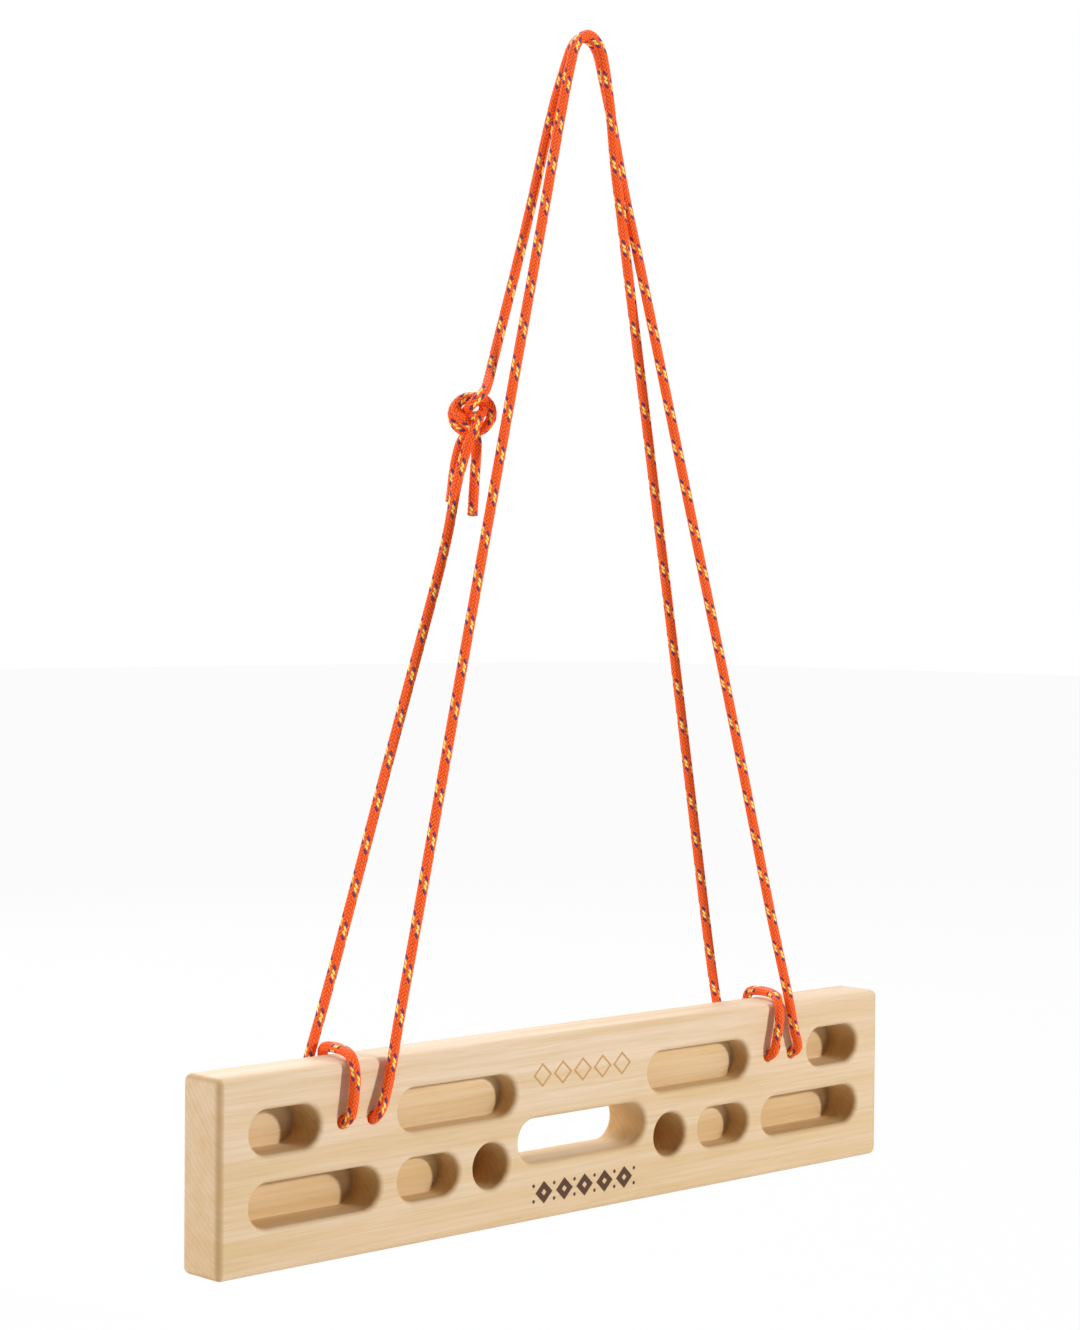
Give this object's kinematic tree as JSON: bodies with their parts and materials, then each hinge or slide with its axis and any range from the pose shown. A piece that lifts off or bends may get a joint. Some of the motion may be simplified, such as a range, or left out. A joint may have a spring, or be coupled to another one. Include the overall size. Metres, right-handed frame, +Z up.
{
  "type": "portable hangboard",
  "caption": "Portable wooden climbing hangboard with finger pockets, monos and a grip slot, hanging on a knotted loop of orange cord.",
  "frame": {"origin": "the hanging point, inside the crown of the back cord bight, where a hook or carabiner carries the sling", "axes": "+X along the board to the right as seen from its front, +Y from the front face to the back, +Z up"},
  "size_m": [0.5, 0.0459, 0.6441],
  "materials": {
    "pale_wood": "sanded, unvarnished",
    "orange_cord": "woven polyamide sheath"
  },
  "bodies": {
    "hook_bights": {"front_bight": "orange_cord", "back_bight": "orange_cord"},
    "sway_link": {"left_front_upper_neck": "orange_cord", "left_back_upper_neck": "orange_cord", "right_front_upper_neck": "orange_cord", "right_back_upper_neck": "orange_cord"},
    "swing_link": {"left_front_lower_neck": "orange_cord", "left_back_lower_neck": "orange_cord", "right_front_lower_neck": "orange_cord", "right_back_lower_neck": "orange_cord"},
    "hanging_board": {"board": "pale_wood", "left_front_leg": "orange_cord", "left_back_leg_upper": "orange_cord", "left_back_leg_lower": "orange_cord", "right_front_leg": "orange_cord", "right_back_leg": "orange_cord", "left_hitch": "orange_cord", "right_hitch": "orange_cord", "knot_coil": "orange_cord", "knot_hook": "orange_cord", "knot_left_tail": "orange_cord", "knot_right_tail": "orange_cord"}
  },
  "joints": [
    {"name": "sling_sway", "type": "hinge", "parent": "hook_bights", "child": "sway_link", "pos_m": [0, 0, 0], "axis": [0, 1, 0], "range_deg": [-30, 30], "deforming": ["front_bight", "back_bight", "left_front_upper_neck", "left_back_upper_neck", "right_front_upper_neck", "right_back_upper_neck"]},
    {"name": "sling_swing", "type": "hinge", "parent": "sway_link", "child": "swing_link", "pos_m": [0, 0, 0], "axis": [1, 0, 0], "range_deg": [-45, 45], "deforming": ["left_front_upper_neck", "left_back_upper_neck", "right_front_upper_neck", "right_back_upper_neck", "left_front_lower_neck", "left_back_lower_neck", "right_front_lower_neck", "right_back_lower_neck"]},
    {"name": "sling_twist", "type": "hinge", "parent": "swing_link", "child": "hanging_board", "pos_m": [0, 0, 0], "axis": [0, 0, 1], "range_deg": [-90, 90], "deforming": ["left_front_lower_neck", "left_back_lower_neck", "right_front_lower_neck", "right_back_lower_neck"]}
  ]
}
